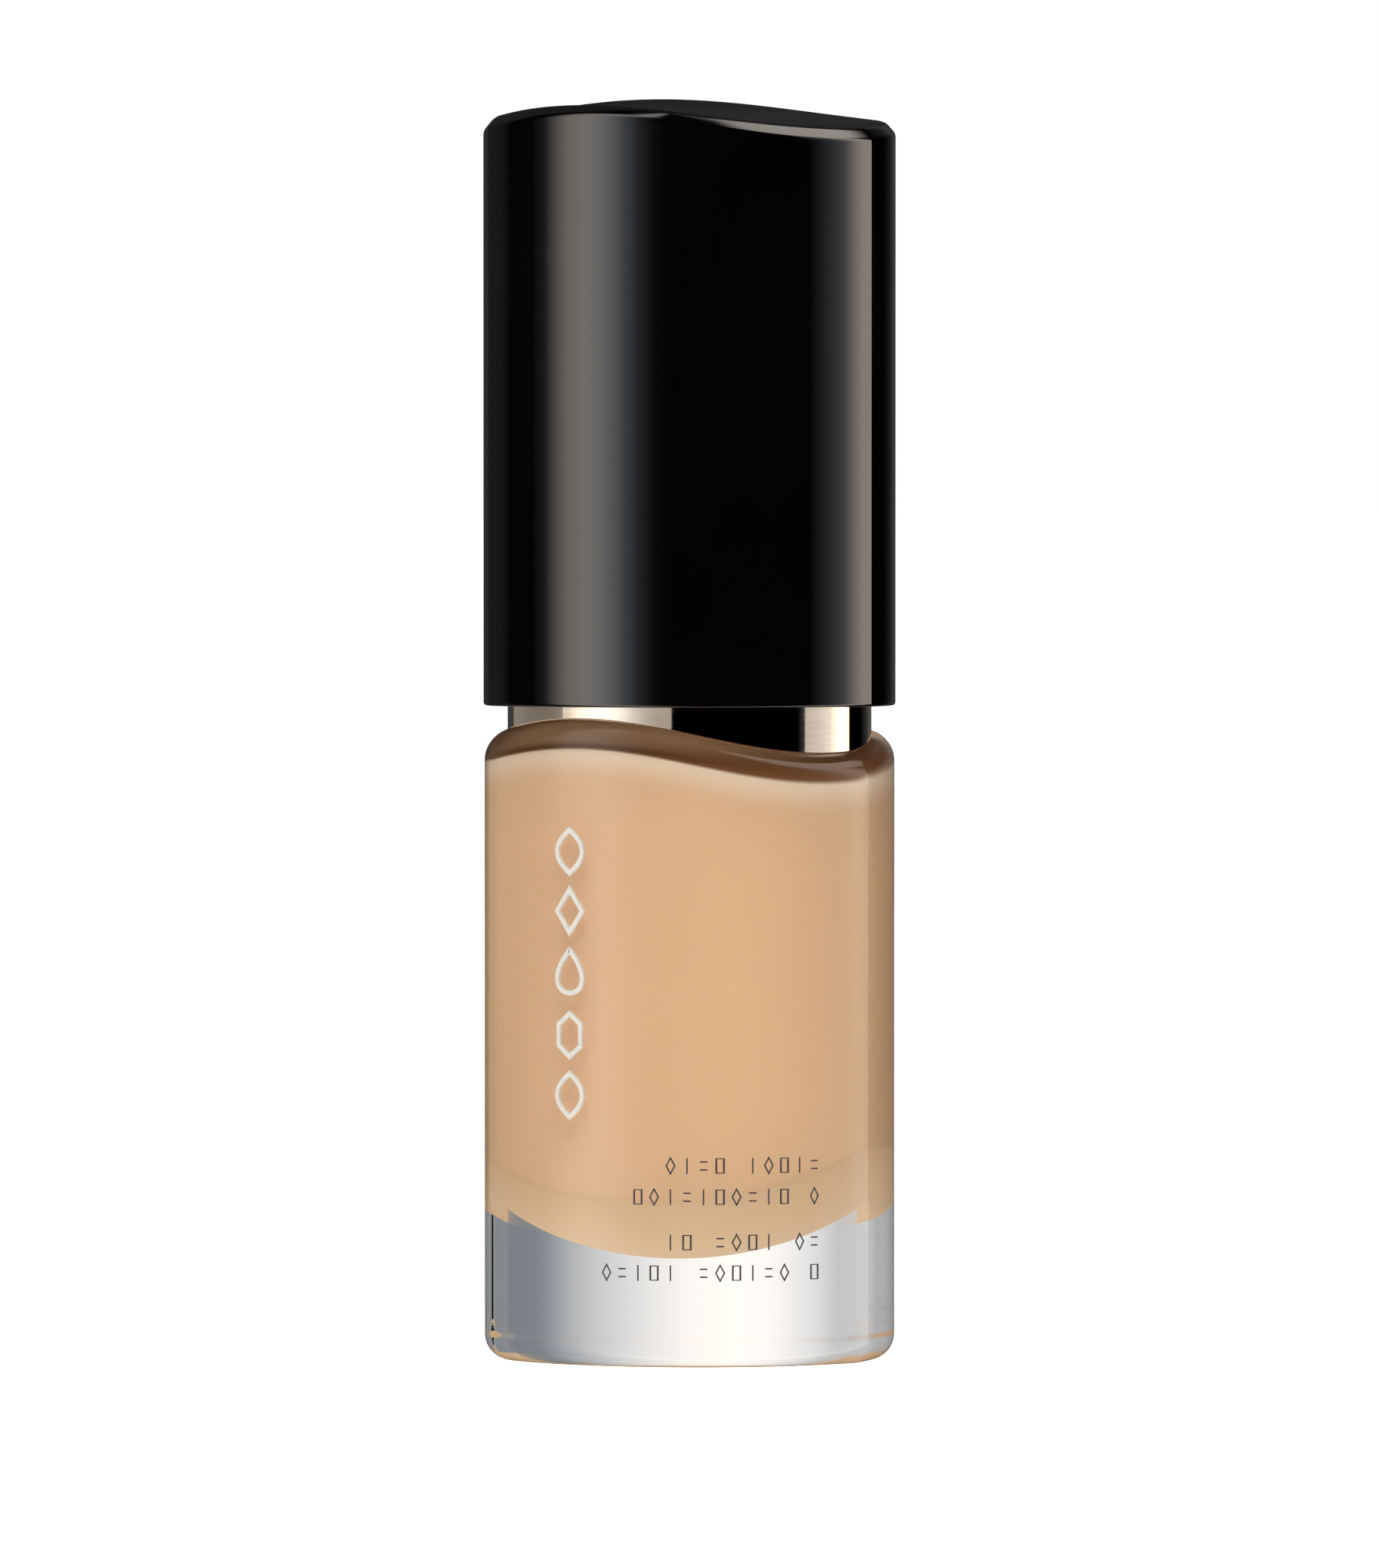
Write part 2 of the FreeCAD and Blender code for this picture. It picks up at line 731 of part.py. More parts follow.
def build_cap():
    """Tall cap: a shell with a wavy bevelled top, and a plain inner cup that slides on the collar."""
    blank = plan_body("cap_blank", "0 - cap_proud", "cap_low", "sky")
    over_top = above_wave("over_top", "cap", dim("cap_bevel_down"))
    topped = cut("cap_topped", blank, over_top)
    doc.recompute()
    bevel = doc.addObject("Part::Chamfer", "cap_bevelled")
    bevel.Base = topped
    is_rim = rim_between(dim("cap_ceiling"), dim("sky"))
    inward = dim("cap_bevel_in")
    down = dim("cap_bevel_down")
    edges = enumerate(topped.Shape.Edges, start=1)
    bevel.Edges = [(number, inward, down) for number, edge in edges if is_rim(edge)]
    hollow = plan_body("cap_hollow", "cap_wall - cap_proud", "cap_low - overrun", "cap_ceiling")
    shell = cut("cap_shell", bevel, hollow)

    liner_outer = plan_body("liner_outer", "cap_wall - cap_proud", "liner_low", "cap_ceiling")
    liner_inset = "cap_wall + liner_wall - cap_proud"
    liner_inner = plan_body("liner_inner", liner_inset, "liner_low - overrun", "cap_ceiling - liner_roof")
    liner = cut("cap_liner", liner_outer, liner_inner)
    return [shell, liner]


# ---------------------------------------------------------------- whole object

glass_bottle, glass_cavity = build_glass()
nodes = [
    glass_bottle,
    build_fill(glass_cavity),
    build_collar(),
    build_carrier(),
    build_closure(),
    build_gasket(),
    *build_pump(),
    *build_head(),
    *build_cap(),
]
doc.recompute()

for item in doc.Objects:
    if "Invalid" in item.State or "Error" in item.State:
        raise RuntimeError(f"{item.Name} failed: {item.State}")

os.makedirs("parts", exist_ok=True)
for node in nodes:
    node.Label = node.Name
    shape = node.Shape
    if shape.isNull() or not shape.isValid() or len(shape.Solids) != 1:
        raise RuntimeError(f"{node.Name} has a bad shape")
    shape.exportStep(f"parts/{node.Name}.step")
    print(f"{node.Name}: {shape.Volume:.1f} mm3")
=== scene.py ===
import json
import math
import bpy
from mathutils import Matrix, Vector


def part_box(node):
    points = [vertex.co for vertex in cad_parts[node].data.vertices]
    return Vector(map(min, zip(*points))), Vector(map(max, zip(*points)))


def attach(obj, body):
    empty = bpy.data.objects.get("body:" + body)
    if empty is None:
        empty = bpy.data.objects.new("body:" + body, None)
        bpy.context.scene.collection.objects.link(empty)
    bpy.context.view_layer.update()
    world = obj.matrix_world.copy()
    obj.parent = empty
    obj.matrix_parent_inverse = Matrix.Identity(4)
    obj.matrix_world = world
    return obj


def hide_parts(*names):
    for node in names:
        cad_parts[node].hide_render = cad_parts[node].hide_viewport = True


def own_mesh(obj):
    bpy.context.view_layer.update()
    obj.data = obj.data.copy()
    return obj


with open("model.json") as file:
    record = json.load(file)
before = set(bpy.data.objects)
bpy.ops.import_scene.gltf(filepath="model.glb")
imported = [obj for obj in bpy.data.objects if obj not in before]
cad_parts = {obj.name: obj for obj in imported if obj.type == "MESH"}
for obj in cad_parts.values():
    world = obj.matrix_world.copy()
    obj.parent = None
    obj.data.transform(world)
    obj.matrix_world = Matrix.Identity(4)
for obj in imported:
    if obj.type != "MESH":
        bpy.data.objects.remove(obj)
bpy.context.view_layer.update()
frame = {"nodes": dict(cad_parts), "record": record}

MM = 0.001

# ------------------------------------------------------------------ the bottle's plan and wave

CAP_LOW, CAP_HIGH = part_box("cap_shell")
COLLAR_LOW, COLLAR_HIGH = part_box("outer_collar")
GLASS_LOW, GLASS_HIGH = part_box("glass_bottle")

SIDE_RADIUS = GLASS_HIGH.x  # the side arcs are one circle about the axis
FRONT_RADIUS = 21.06 * MM
FRONT_CENTRE = FRONT_RADIUS - GLASS_HIGH.y
CREASE_ROUND = 3.0 * MM
CAP_PROUD = CAP_HIGH.x - GLASS_HIGH.x
COLLAR_INSET = GLASS_HIGH.x - COLLAR_HIGH.x

# Harmonics round the axis at WAVE_RADIUS: mean height, then cosine and sine of each order
WAVE_RADIUS = 17.0 * MM
SHOULDER_WAVE = (
    56.25 * MM, (-0.91 * MM, -0.93 * MM), (0.91 * MM, -0.79 * MM), (0.16 * MM, -0.67 * MM),
)
CAP_WAVE = (
    110.0 * MM, (-1.0 * MM, -0.68 * MM), (0.83 * MM, -0.24 * MM), (-0.05 * MM, -0.45 * MM),
)

ARC_STEPS = (72, 8, 28)  # quads along a front arc, a crease and a side arc
WHOLE_TURN = 2 * math.pi
SHARP_EDGE = math.radians(35)


def wave(harmonics, x, y):
    """Height of a wavy surface at a place."""
    mean, *orders = harmonics
    turn = complex(-y, x) / WAVE_RADIUS
    height = mean
    for order, (cosine, sine) in enumerate(orders, start=1):
        harmonic = turn**order
        height += cosine * harmonic.real + sine * harmonic.imag
    return height


def shoulder(x, y):
    """Height of the top of the glass."""
    return wave(SHOULDER_WAVE, x, y)


def cap_top(x, y):
    """Height of the lower edge of the cap's bevel."""
    return wave(CAP_WAVE, x, y)


def plan_loop(inset, crease):
    """Points (x, y) round the plan moved inwards by inset, its four creases rounded."""
    side = SIDE_RADIUS - inset - crease
    front = FRONT_RADIUS - inset - crease
    corner_y = (front**2 - side**2 - FRONT_CENTRE**2) / (2 * FRONT_CENTRE)
    corner_x = math.sqrt(side**2 - corner_y**2)
    at_side = math.atan2(corner_x, corner_y)
    at_front = math.atan2(corner_x, corner_y + FRONT_CENTRE)
    # first angle, last angle, centre x, centre y, radius and steps of the arcs from -Y round to +Y
    front_steps, crease_steps, side_steps = ARC_STEPS
    arcs = (
        (-at_front, at_front, 0.0, FRONT_CENTRE, FRONT_RADIUS - inset, front_steps),
        (at_front, at_side, corner_x, -corner_y, crease, crease_steps),
        (at_side, math.pi - at_side, 0.0, 0.0, SIDE_RADIUS - inset, side_steps),
        (math.pi - at_side, math.pi - at_front, corner_x, corner_y, crease, crease_steps),
    )
    loop = []
    for half_turn in (0.0, math.pi):
        for first, last, centre_x, centre_y, radius, steps in arcs:
            if half_turn:
                centre_x, centre_y = -centre_x, -centre_y
            for step in range(steps):
                angle = first + (last - first) * step / steps + half_turn
                x = centre_x + radius * math.sin(angle)
                y = centre_y - radius * math.cos(angle)
                loop.append((x, y))
    return loop


def circle_loop(radius, like):
    """Points on a circle in the same directions as the points of another loop."""
    return [(radius * x / math.hypot(x, y), radius * y / math.hypot(x, y)) for x, y in like]


def mixed(loop_a, loop_b, share):
    """The loop that lies a share of the way from one loop to another."""
    return [
        (ax + (bx - ax) * share, ay + (by - ay) * share)
        for (ax, ay), (bx, by) in zip(loop_a, loop_b)
    ]


def shrunk(loop, share):
    """A loop drawn in towards the axis to a share of its size."""
    return [(x * share, y * share) for x, y in loop]


def level(loop, height):
    """A ring at one height."""
    return [(x, y, height) for x, y in loop]


def lifted(loop, surface, rise):
    """A ring that lies a distance above or below a surface."""
    return [(x, y, surface(x, y) + rise) for x, y in loop]


def loft(name, rings, start=None, end=None):
    """A mesh through rings of points, closed by a point at its start and its end."""
    count = len(rings[0])
    vertices = [point for ring in rings for point in ring]
    faces = []
    for row in range(len(rings) - 1):
        for column in range(count):
            following = (column + 1) % count
            a, b = row * count + column, row * count + following
            faces.append((a, b, b + count, a + count))
    if start is not None:
        vertices.append(start)
        tip = len(vertices) - 1
        faces += [(tip, (column + 1) % count, column) for column in range(count)]
    if end is not None:
        vertices.append(end)
        tip = len(vertices) - 1
        last = (len(rings) - 1) * count
        faces += [(tip, last + column, last + (column + 1) % count) for column in range(count)]
    return smooth_piece(name, vertices, faces, SHARP_EDGE)


def smooth_piece(name, vertices, faces, sharp):
    """An object with a smooth mesh whose edges are sharp from an angle."""
    mesh = bpy.data.meshes.new(name)
    mesh.from_pydata(vertices, [], faces)
    mesh.update()
    mesh.polygons.foreach_set("use_smooth", [True] * len(mesh.polygons))
    mesh.set_sharp_from_angle(angle=sharp)
    piece = bpy.data.objects.new(name, mesh)
    bpy.context.scene.collection.objects.link(piece)
    return piece


def quarter(steps):
    """Sine and cosine pairs through a quarter turn."""
    return [
        (math.sin(0.5 * math.pi * step / steps), math.cos(0.5 * math.pi * step / steps))
        for step in range(steps + 1)
    ]


# ------------------------------------------------------------------ materials


def new_material(name):
    """A material, its node tree and its Principled shader."""
    material = bpy.data.materials.new(name)
    material.use_nodes = True
    tree = material.node_tree
    shader = next(node for node in tree.nodes if node.type == "BSDF_PRINCIPLED")
    return material, tree, shader


def noise(tree, scale, detail, stretch=(1.0, 1.0, 1.0)):
    """Noise over the object's own metres."""
    place = tree.nodes.new("ShaderNodeTexCoord")
    mapping = tree.nodes.new("ShaderNodeMapping")
    mapping.inputs["Scale"].default_value = stretch
    texture = tree.nodes.new("ShaderNodeTexNoise")
    texture.inputs["Scale"].default_value = scale
    texture.inputs["Detail"].default_value = detail
    tree.links.new(place.outputs["Object"], mapping.inputs["Vector"])
    tree.links.new(mapping.outputs["Vector"], texture.inputs["Vector"])
    return texture


def ranged(tree, source, low, high):
    """The values that noise mostly takes, spread over another range."""
    spread = tree.nodes.new("ShaderNodeMapRange")
    spread.inputs["From Min"].default_value = 0.3
    spread.inputs["From Max"].default_value = 0.7
    spread.inputs["To Min"].default_value = low
    spread.inputs["To Max"].default_value = high
    tree.links.new(source, spread.inputs["Value"])
    return spread.outputs["Result"]


def tinted(tree, source, dark, light):
    """A colour that noise moves between two."""
    ramp = tree.nodes.new("ShaderNodeValToRGB")
    for element, position, colour in zip(ramp.color_ramp.elements, (0.35, 0.65), (dark, light)):
        element.position = position
        element.color = (*colour, 1.0)
    tree.links.new(source, ramp.inputs["Fac"])
    return ramp.outputs["Color"]


def mixed_colour(tree, factor, first, second):
    """A mix of two colours; each is a socket or a fixed colour."""
    mix = tree.nodes.new("ShaderNodeMix")
    mix.data_type = "RGBA"
    tree.links.new(factor, mix.inputs["Factor"])
    for name, colour in (("A", first), ("B", second)):
        socket = next(entry for entry in mix.inputs if entry.name == name and entry.type == "RGBA")
        if isinstance(colour, tuple):
            socket.default_value = colour
        else:
            tree.links.new(colour, socket)
    return next(entry for entry in mix.outputs if entry.type == "RGBA")


def stepped(tree, source, low, high):
    """A smooth step from 0 to 1."""
    step = tree.nodes.new("ShaderNodeMapRange")
    step.interpolation_type = "SMOOTHSTEP"
    step.inputs["From Min"].default_value = low
    step.inputs["From Max"].default_value = high
    tree.links.new(source, step.inputs["Value"])
    return step.outputs["Result"]


def bumped(tree, shader, source, distance):
    """Fine relief from a value."""
    bump = tree.nodes.new("ShaderNodeBump")
    bump.inputs["Distance"].default_value = distance
    bump.inputs["Strength"].default_value = 1.0
    tree.links.new(source, bump.inputs["Height"])
    tree.links.new(bump.outputs["Normal"], shader.inputs["Normal"])


def gloss_black():
    """Black plastic with a deep polish."""
    material, tree, shader = new_material("gloss_black")
    fine = noise(tree, 900.0, 3.0)
    broad = noise(tree, 60.0, 2.0)
    colour = tinted(tree, broad.outputs["Fac"], (0.0008, 0.0008, 0.0010), (0.0016, 0.0016, 0.0019))
    tree.links.new(colour, shader.inputs["Base Color"])
    tree.links.new(ranged(tree, fine.outputs["Fac"], 0.04, 0.07), shader.inputs["Roughness"])
    shader.inputs["IOR"].default_value = 2.0
    bumped(tree, shader, broad.outputs["Fac"], 0.000004)
    return material


def champagne():
    """Mirror metal with a warm tint and a faint brushing round the collar."""
    material, tree, shader = new_material("champagne_metal")
    shader.inputs["Metallic"].default_value = 1.0
    brushed = noise(tree, 400.0, 3.0, (1.0, 1.0, 14.0))
    colour = tinted(tree, brushed.outputs["Fac"], (0.80, 0.69, 0.59), (0.86, 0.76, 0.66))
    tree.links.new(colour, shader.inputs["Base Color"])
    tree.links.new(ranged(tree, brushed.outputs["Fac"], 0.03, 0.07), shader.inputs["Roughness"])
    bumped(tree, shader, brushed.outputs["Fac"], 0.000001)
    return material


def clear_glass():
    """Clear glass with a slight drift in its surface, which lamps shine through."""
    material, tree, shader = new_material("clear_glass")
    shader.inputs["Transmission Weight"].default_value = 1.0
    shader.inputs["IOR"].default_value = 1.5
    drift = noise(tree, 45.0, 1.0, (1.0, 1.0, 0.35))
    colour = tinted(tree, drift.outputs["Fac"], (0.975, 0.985, 0.99), (0.99, 0.995, 1.0))
    tree.links.new(colour, shader.inputs["Base Color"])
    fine = noise(tree, 700.0, 2.0)
    tree.links.new(ranged(tree, fine.outputs["Fac"], 0.0, 0.015), shader.inputs["Roughness"])
    bumped(tree, shader, drift.outputs["Fac"], 0.00002)
    # lamps shine through the glass onto the liquid
    output = next(node for node in tree.nodes if node.type == "OUTPUT_MATERIAL")
    path = tree.nodes.new("ShaderNodeLightPath")
    through = tree.nodes.new("ShaderNodeBsdfTransparent")
    mix = tree.nodes.new("ShaderNodeMixShader")
    tree.links.new(path.outputs["Is Shadow Ray"], mix.inputs["Fac"])
    _, glass_input, shadow_input = mix.inputs
    tree.links.new(shader.outputs["BSDF"], glass_input)
    tree.links.new(through.outputs["BSDF"], shadow_input)
    tree.links.new(mix.outputs["Shader"], output.inputs["Surface"])
    return material


# Painted light and shade on the liquid near its top: a painted lighter band just under the
# shoulder, painted dark shade on top where the collar shades it, and a painted lighter glow at the
# top edge. Each gives the depths under the shoulder where it sets in and is full, then its colour
PAINTED_TOP_LIGHT_AND_SHADE = (
    (5.6 * MM, 2.7 * MM, (0.99, 0.76, 0.55, 1.0)),
    (2.75 * MM, 2.45 * MM, (0.24, 0.10, 0.035, 1.0)),
    (2.2 * MM, 1.3 * MM, (0.95, 0.58, 0.31, 1.0)),
)


def tan_liquid():
    """Opaque tan liquid, with painted light just under the shoulder and at its top edge, and
    painted shade on top where the collar shades it.
    """
    material, tree, shader = new_material("foundation")
    swirl = noise(tree, 55.0, 3.0, (1.0, 1.0, 0.25))
    colour = tinted(tree, swirl.outputs["Fac"], (0.86, 0.575, 0.335), (0.90, 0.615, 0.365))
    depth = tree.nodes.new("ShaderNodeAttribute")
    depth.attribute_name = "depth"
    # painted light and painted shade laid over the liquid's colour by depth under the shoulder
    for deep, shallow, tint in PAINTED_TOP_LIGHT_AND_SHADE:
        share = stepped(tree, depth.outputs["Fac"], deep, shallow)
        colour = mixed_colour(tree, share, colour, tint)
    tree.links.new(colour, shader.inputs["Base Color"])
    shader.inputs["Roughness"].default_value = 0.55
    shader.inputs["Subsurface Weight"].default_value = 0.25
    shader.inputs["Subsurface Radius"].default_value = (0.004, 0.002, 0.001)
    shader.inputs["Subsurface Scale"].default_value = 0.5
    return material


def moulded(name, dark, light, rough=(0.32, 0.46), milky=0.0):
    """Moulded plastic with a fine grain."""
    material, tree, shader = new_material(name)
    grain = noise(tree, 1500.0, 3.0)
    tree.links.new(tinted(tree, grain.outputs["Fac"], dark, light), shader.inputs["Base Color"])
    tree.links.new(ranged(tree, grain.outputs["Fac"], *rough), shader.inputs["Roughness"])
    shader.inputs["Subsurface Weight"].default_value = milky
    bumped(tree, shader, grain.outputs["Fac"], 0.000006)
    return material


def steel():
    """Drawn stainless steel."""
    material, tree, shader = new_material("steel")
    shader.inputs["Metallic"].default_value = 1.0
    drawn = noise(tree, 1200.0, 3.0, (1.0, 1.0, 6.0))
    colour = tinted(tree, drawn.outputs["Fac"], (0.50, 0.50, 0.52), (0.64, 0.64, 0.66))
    tree.links.new(colour, shader.inputs["Base Color"])
    tree.links.new(ranged(tree, drawn.outputs["Fac"], 0.16, 0.30), shader.inputs["Roughness"])
    return material


def raised_white():
    """Thick warm-white enamel for the raised marks."""
    material, tree, shader = new_material("raised_white")
    grain = noise(tree, 1800.0, 3.0)
    colour = tinted(tree, grain.outputs["Fac"], (0.86, 0.84, 0.77), (0.92, 0.90, 0.84))
    tree.links.new(colour, shader.inputs["Base Color"])
    tree.links.new(ranged(tree, grain.outputs["Fac"], 0.25, 0.40), shader.inputs["Roughness"])
    bumped(tree, shader, grain.outputs["Fac"], 0.000004)
    return material


def grey_ink():
    """Dark grey printing ink."""
    material, tree, shader = new_material("grey_ink")
    grain = noise(tree, 2500.0, 3.0)
    colour = tinted(tree, grain.outputs["Fac"], (0.045, 0.042, 0.048), (0.085, 0.080, 0.088))
    tree.links.new(colour, shader.inputs["Base Color"])
    tree.links.new(ranged(tree, grain.outputs["Fac"], 0.35, 0.55), shader.inputs["Roughness"])
    return material


def give(piece, material):
    """The piece gets one material."""
    piece.data.materials.clear()
    piece.data.materials.append(material)


# ------------------------------------------------------------------ visible pieces

WETTING = 0.03 * MM  # the liquid wets the glass, so no air shows between them
NUDGE = 0.1 * MM  # keeps the last ring of a round apart from the flat beyond it
GLASS_WALL = 1.5 * MM
HEEL_ROUND = 2.2 * MM
SHOULDER_ROUND = 2.1 * MM
SHOULDER_GLASS = 2.3 * MM
FLOOR_HEIGHT = 9.2 * MM
FLOOR_DISH = 20.0 * MM
FLOOR_SHIFT = 0.6 * MM
CAVITY_ROUND = 1.5 * MM
RECESS_RADIUS = 12.0 * MM
RECESS_DEPTH = 0.6 * MM
LIQUID_CROWN = 1.5 * MM  # under the collar the liquid stands higher, towards the neck
NECK_RADIUS = 7.9 * MM
NECK_FILLET = 0.5 * MM
NECK_BORE = 5.2 * MM
BARREL_RADIUS = 4.6 * MM
NOSE_RADIUS = 3.0 * MM
PUMP_GAP = 0.05 * MM
SPRING_WIRE = 0.3 * MM
SPRING_PITCH = 1.6 * MM


def cavity_rings(grow):
    """Rings of the space inside the glass, grown outwards, from the floor's middle to the ceiling.

    Also gives the ceiling's height from the shoulder, which is below zero.
    """
    wall = plan_loop(GLASS_WALL - grow, CREASE_ROUND)
    rings = []
    # for each point round the wall: the way out to it, and the rounding from the floor to the wall
    spans = []
    for x, y in wall:
        out = Vector((x + FLOOR_SHIFT, y))
        centre_reach = out.length - CAVITY_ROUND
        drop = math.sqrt((FLOOR_DISH + grow - CAVITY_ROUND) ** 2 - centre_reach**2)
        centre_height = FLOOR_HEIGHT + FLOOR_DISH - drop
        tilt = math.atan2(drop, centre_reach)
        spans.append((out.normalized(), centre_reach, centre_height, tilt))
    floor_steps = 22
    for step in range(1, floor_steps + 1):
        ring = []
        for direction, centre_reach, _, tilt in spans:
            touch = centre_reach + CAVITY_ROUND * math.cos(tilt)
            away = touch * step / floor_steps
            sag = math.sqrt((FLOOR_DISH + grow) ** 2 - away**2)
            height = FLOOR_HEIGHT + FLOOR_DISH - sag
            ring.append((direction.x * away - FLOOR_SHIFT, direction.y * away, height))
        rings.append(ring)
    bend_steps = 8
    for step in range(1, bend_steps + 1):
        ring = []
        for direction, centre_reach, centre_height, tilt in spans:
            angle = tilt * (1 - step / bend_steps)
            away = centre_reach + CAVITY_ROUND * math.cos(angle)
            height = centre_height - CAVITY_ROUND * math.sin(angle)
            ring.append((direction.x * away - FLOOR_SHIFT, direction.y * away, height))
        rings.append(ring)
    ceiling = -SHOULDER_GLASS + grow
    rings.append([(x, y, span[2] + 3 * NUDGE) for (x, y), span in zip(wall, spans)])
    rings.append(lifted(wall, shoulder, ceiling - CAVITY_ROUND - 2 * NUDGE))
    for sine, cosine in quarter(bend_steps):
        inset = CAVITY_ROUND * (1 - cosine)
        loop = plan_loop(GLASS_WALL - grow + inset, CREASE_ROUND)
        rings.append(lifted(loop, shoulder, ceiling - CAVITY_ROUND * (1 - sine)))
    return rings, ceiling


def pump_room(like):
    """Rings of the room in the liquid for the pump and its tube, from the barrel's foot down."""
    tube_low, tube_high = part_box("dip_tube")
    nose_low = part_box("pump_housing")[0].z
    steps = (
        (BARREL_RADIUS, tube_high.z), (NOSE_RADIUS, tube_high.z), (NOSE_RADIUS, nose_low),
        (tube_high.x, nose_low), (tube_high.x, tube_low.z),
    )
    return [
        level(circle_loop(radius + PUMP_GAP, like), height - PUMP_GAP) for radius, height in steps
    ]


def make_liquid():
    """The liquid, which fills the glass and leaves room for the pump."""
    rings, ceiling = cavity_rings(WETTING)
    rim = plan_loop(GLASS_WALL + CAVITY_ROUND - WETTING, CREASE_ROUND)
    # shares of the rim's size and of the crown's height
    for share, rise in ((0.95, 0.15), (0.88, 0.6), (0.8, 0.92), (0.72, 1.0), (0.5, 1.0)):
        rings.append(lifted(shrunk(rim, share), shoulder, ceiling + LIQUID_CROWN * rise))
    mouth = circle_loop(BARREL_RADIUS + PUMP_GAP, rim)
    rings.append(lifted(mouth, shoulder, ceiling + LIQUID_CROWN))
    rings += pump_room(rim)
    floor_point = (-FLOOR_SHIFT, 0.0, FLOOR_HEIGHT - WETTING)
    liquid = loft("liquid", rings, floor_point, (0.0, 0.0, rings[-1][0][2]))
    depths = [shoulder(vertex.co.x, vertex.co.y) - vertex.co.z for vertex in liquid.data.vertices]
    liquid.data.attributes.new("depth", "FLOAT", "POINT").data.foreach_set("value", depths)
    give(liquid, tan_liquid())
    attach(liquid, "bottle")
    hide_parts("foundation_fill")


def make_glass():
    """The glass, from the middle of its underside round the outside and the neck to its floor."""
    wall = plan_loop(0.0, CREASE_ROUND)
    standing = plan_loop(HEEL_ROUND, CREASE_ROUND)
    ring_edge = circle_loop(RECESS_RADIUS, standing)
    recess_ball = (RECESS_RADIUS**2 / RECESS_DEPTH + RECESS_DEPTH) / 2
    rings = []
    recess_steps = 12
    for step in range(1, recess_steps + 1):
        share = step / recess_steps
        sag = recess_ball - math.sqrt(recess_ball**2 - (share * RECESS_RADIUS) ** 2)
        rings.append(level(shrunk(ring_edge, share), max(RECESS_DEPTH - sag, 0.0)))
    rings.append(level(mixed(ring_edge, standing, 0.5), 0.0))
    for sine, cosine in quarter(10):
        inset = HEEL_ROUND * (1 - sine)
        rings.append(level(plan_loop(inset, CREASE_ROUND), HEEL_ROUND * (1 - cosine)))
    rings.append(level(wall, HEEL_ROUND + 3 * NUDGE))
    rings.append(lifted(wall, shoulder, -SHOULDER_ROUND - 3 * NUDGE))
    for sine, cosine in quarter(10):
        loop = plan_loop(SHOULDER_ROUND * (1 - cosine), CREASE_ROUND)
        rings.append(lifted(loop, shoulder, -SHOULDER_ROUND * (1 - sine)))
    seat = plan_loop(SHOULDER_ROUND, CREASE_ROUND)
    foot = circle_loop(NECK_RADIUS + NECK_FILLET, seat)
    for share in (0.2, 0.4, 0.6, 0.8, 1.0):
        rings.append(lifted(mixed(seat, foot, share), shoulder, 0.0))
    for sine, cosine in quarter(4)[1:]:
        loop = circle_loop(NECK_RADIUS + NECK_FILLET * (1 - sine), seat)
        rings.append(lifted(loop, shoulder, NECK_FILLET * (1 - cosine)))
    # radius and height, in mm, up the outside with its bead, over the lip and down the bore
    neck_profile = (
        (7.9, 59.3), (7.9, 59.45), (8.05, 59.55), (8.4, 59.85), (8.5, 60.05), (8.5, 60.85),
        (8.42, 61.1), (8.1, 61.4), (7.95, 61.55), (7.9, 61.7), (7.9, 63.6), (7.82, 63.85),
        (7.6, 64.0), (5.6, 64.0), (5.32, 63.93), (5.2, 63.7), (5.2, 56.5),
    )
    rings += [level(circle_loop(radius * MM, seat), height * MM) for radius, height in neck_profile]
    inner, ceiling = cavity_rings(0.0)
    rim = plan_loop(GLASS_WALL + CAVITY_ROUND, CREASE_ROUND)
    throat_round = 0.6 * MM
    throat = circle_loop(NECK_BORE + throat_round, seat)
    for inset, rise in ((0.0, 1.0), (0.3, 0.3)):
        loop = circle_loop(NECK_BORE + throat_round * inset, seat)
        rings.append(lifted(loop, shoulder, ceiling + throat_round * rise))
    for share in (0.0, 0.25, 0.5, 0.75):
        rings.append(lifted(mixed(throat, rim, share), shoulder, ceiling))
    rings += inner[::-1]
    floor_point = (-FLOOR_SHIFT, 0.0, FLOOR_HEIGHT)
    glass = loft("glass", rings, (0.0, 0.0, RECESS_DEPTH), floor_point)
    give(glass, clear_glass())
    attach(glass, "bottle")
    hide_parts("glass_bottle")


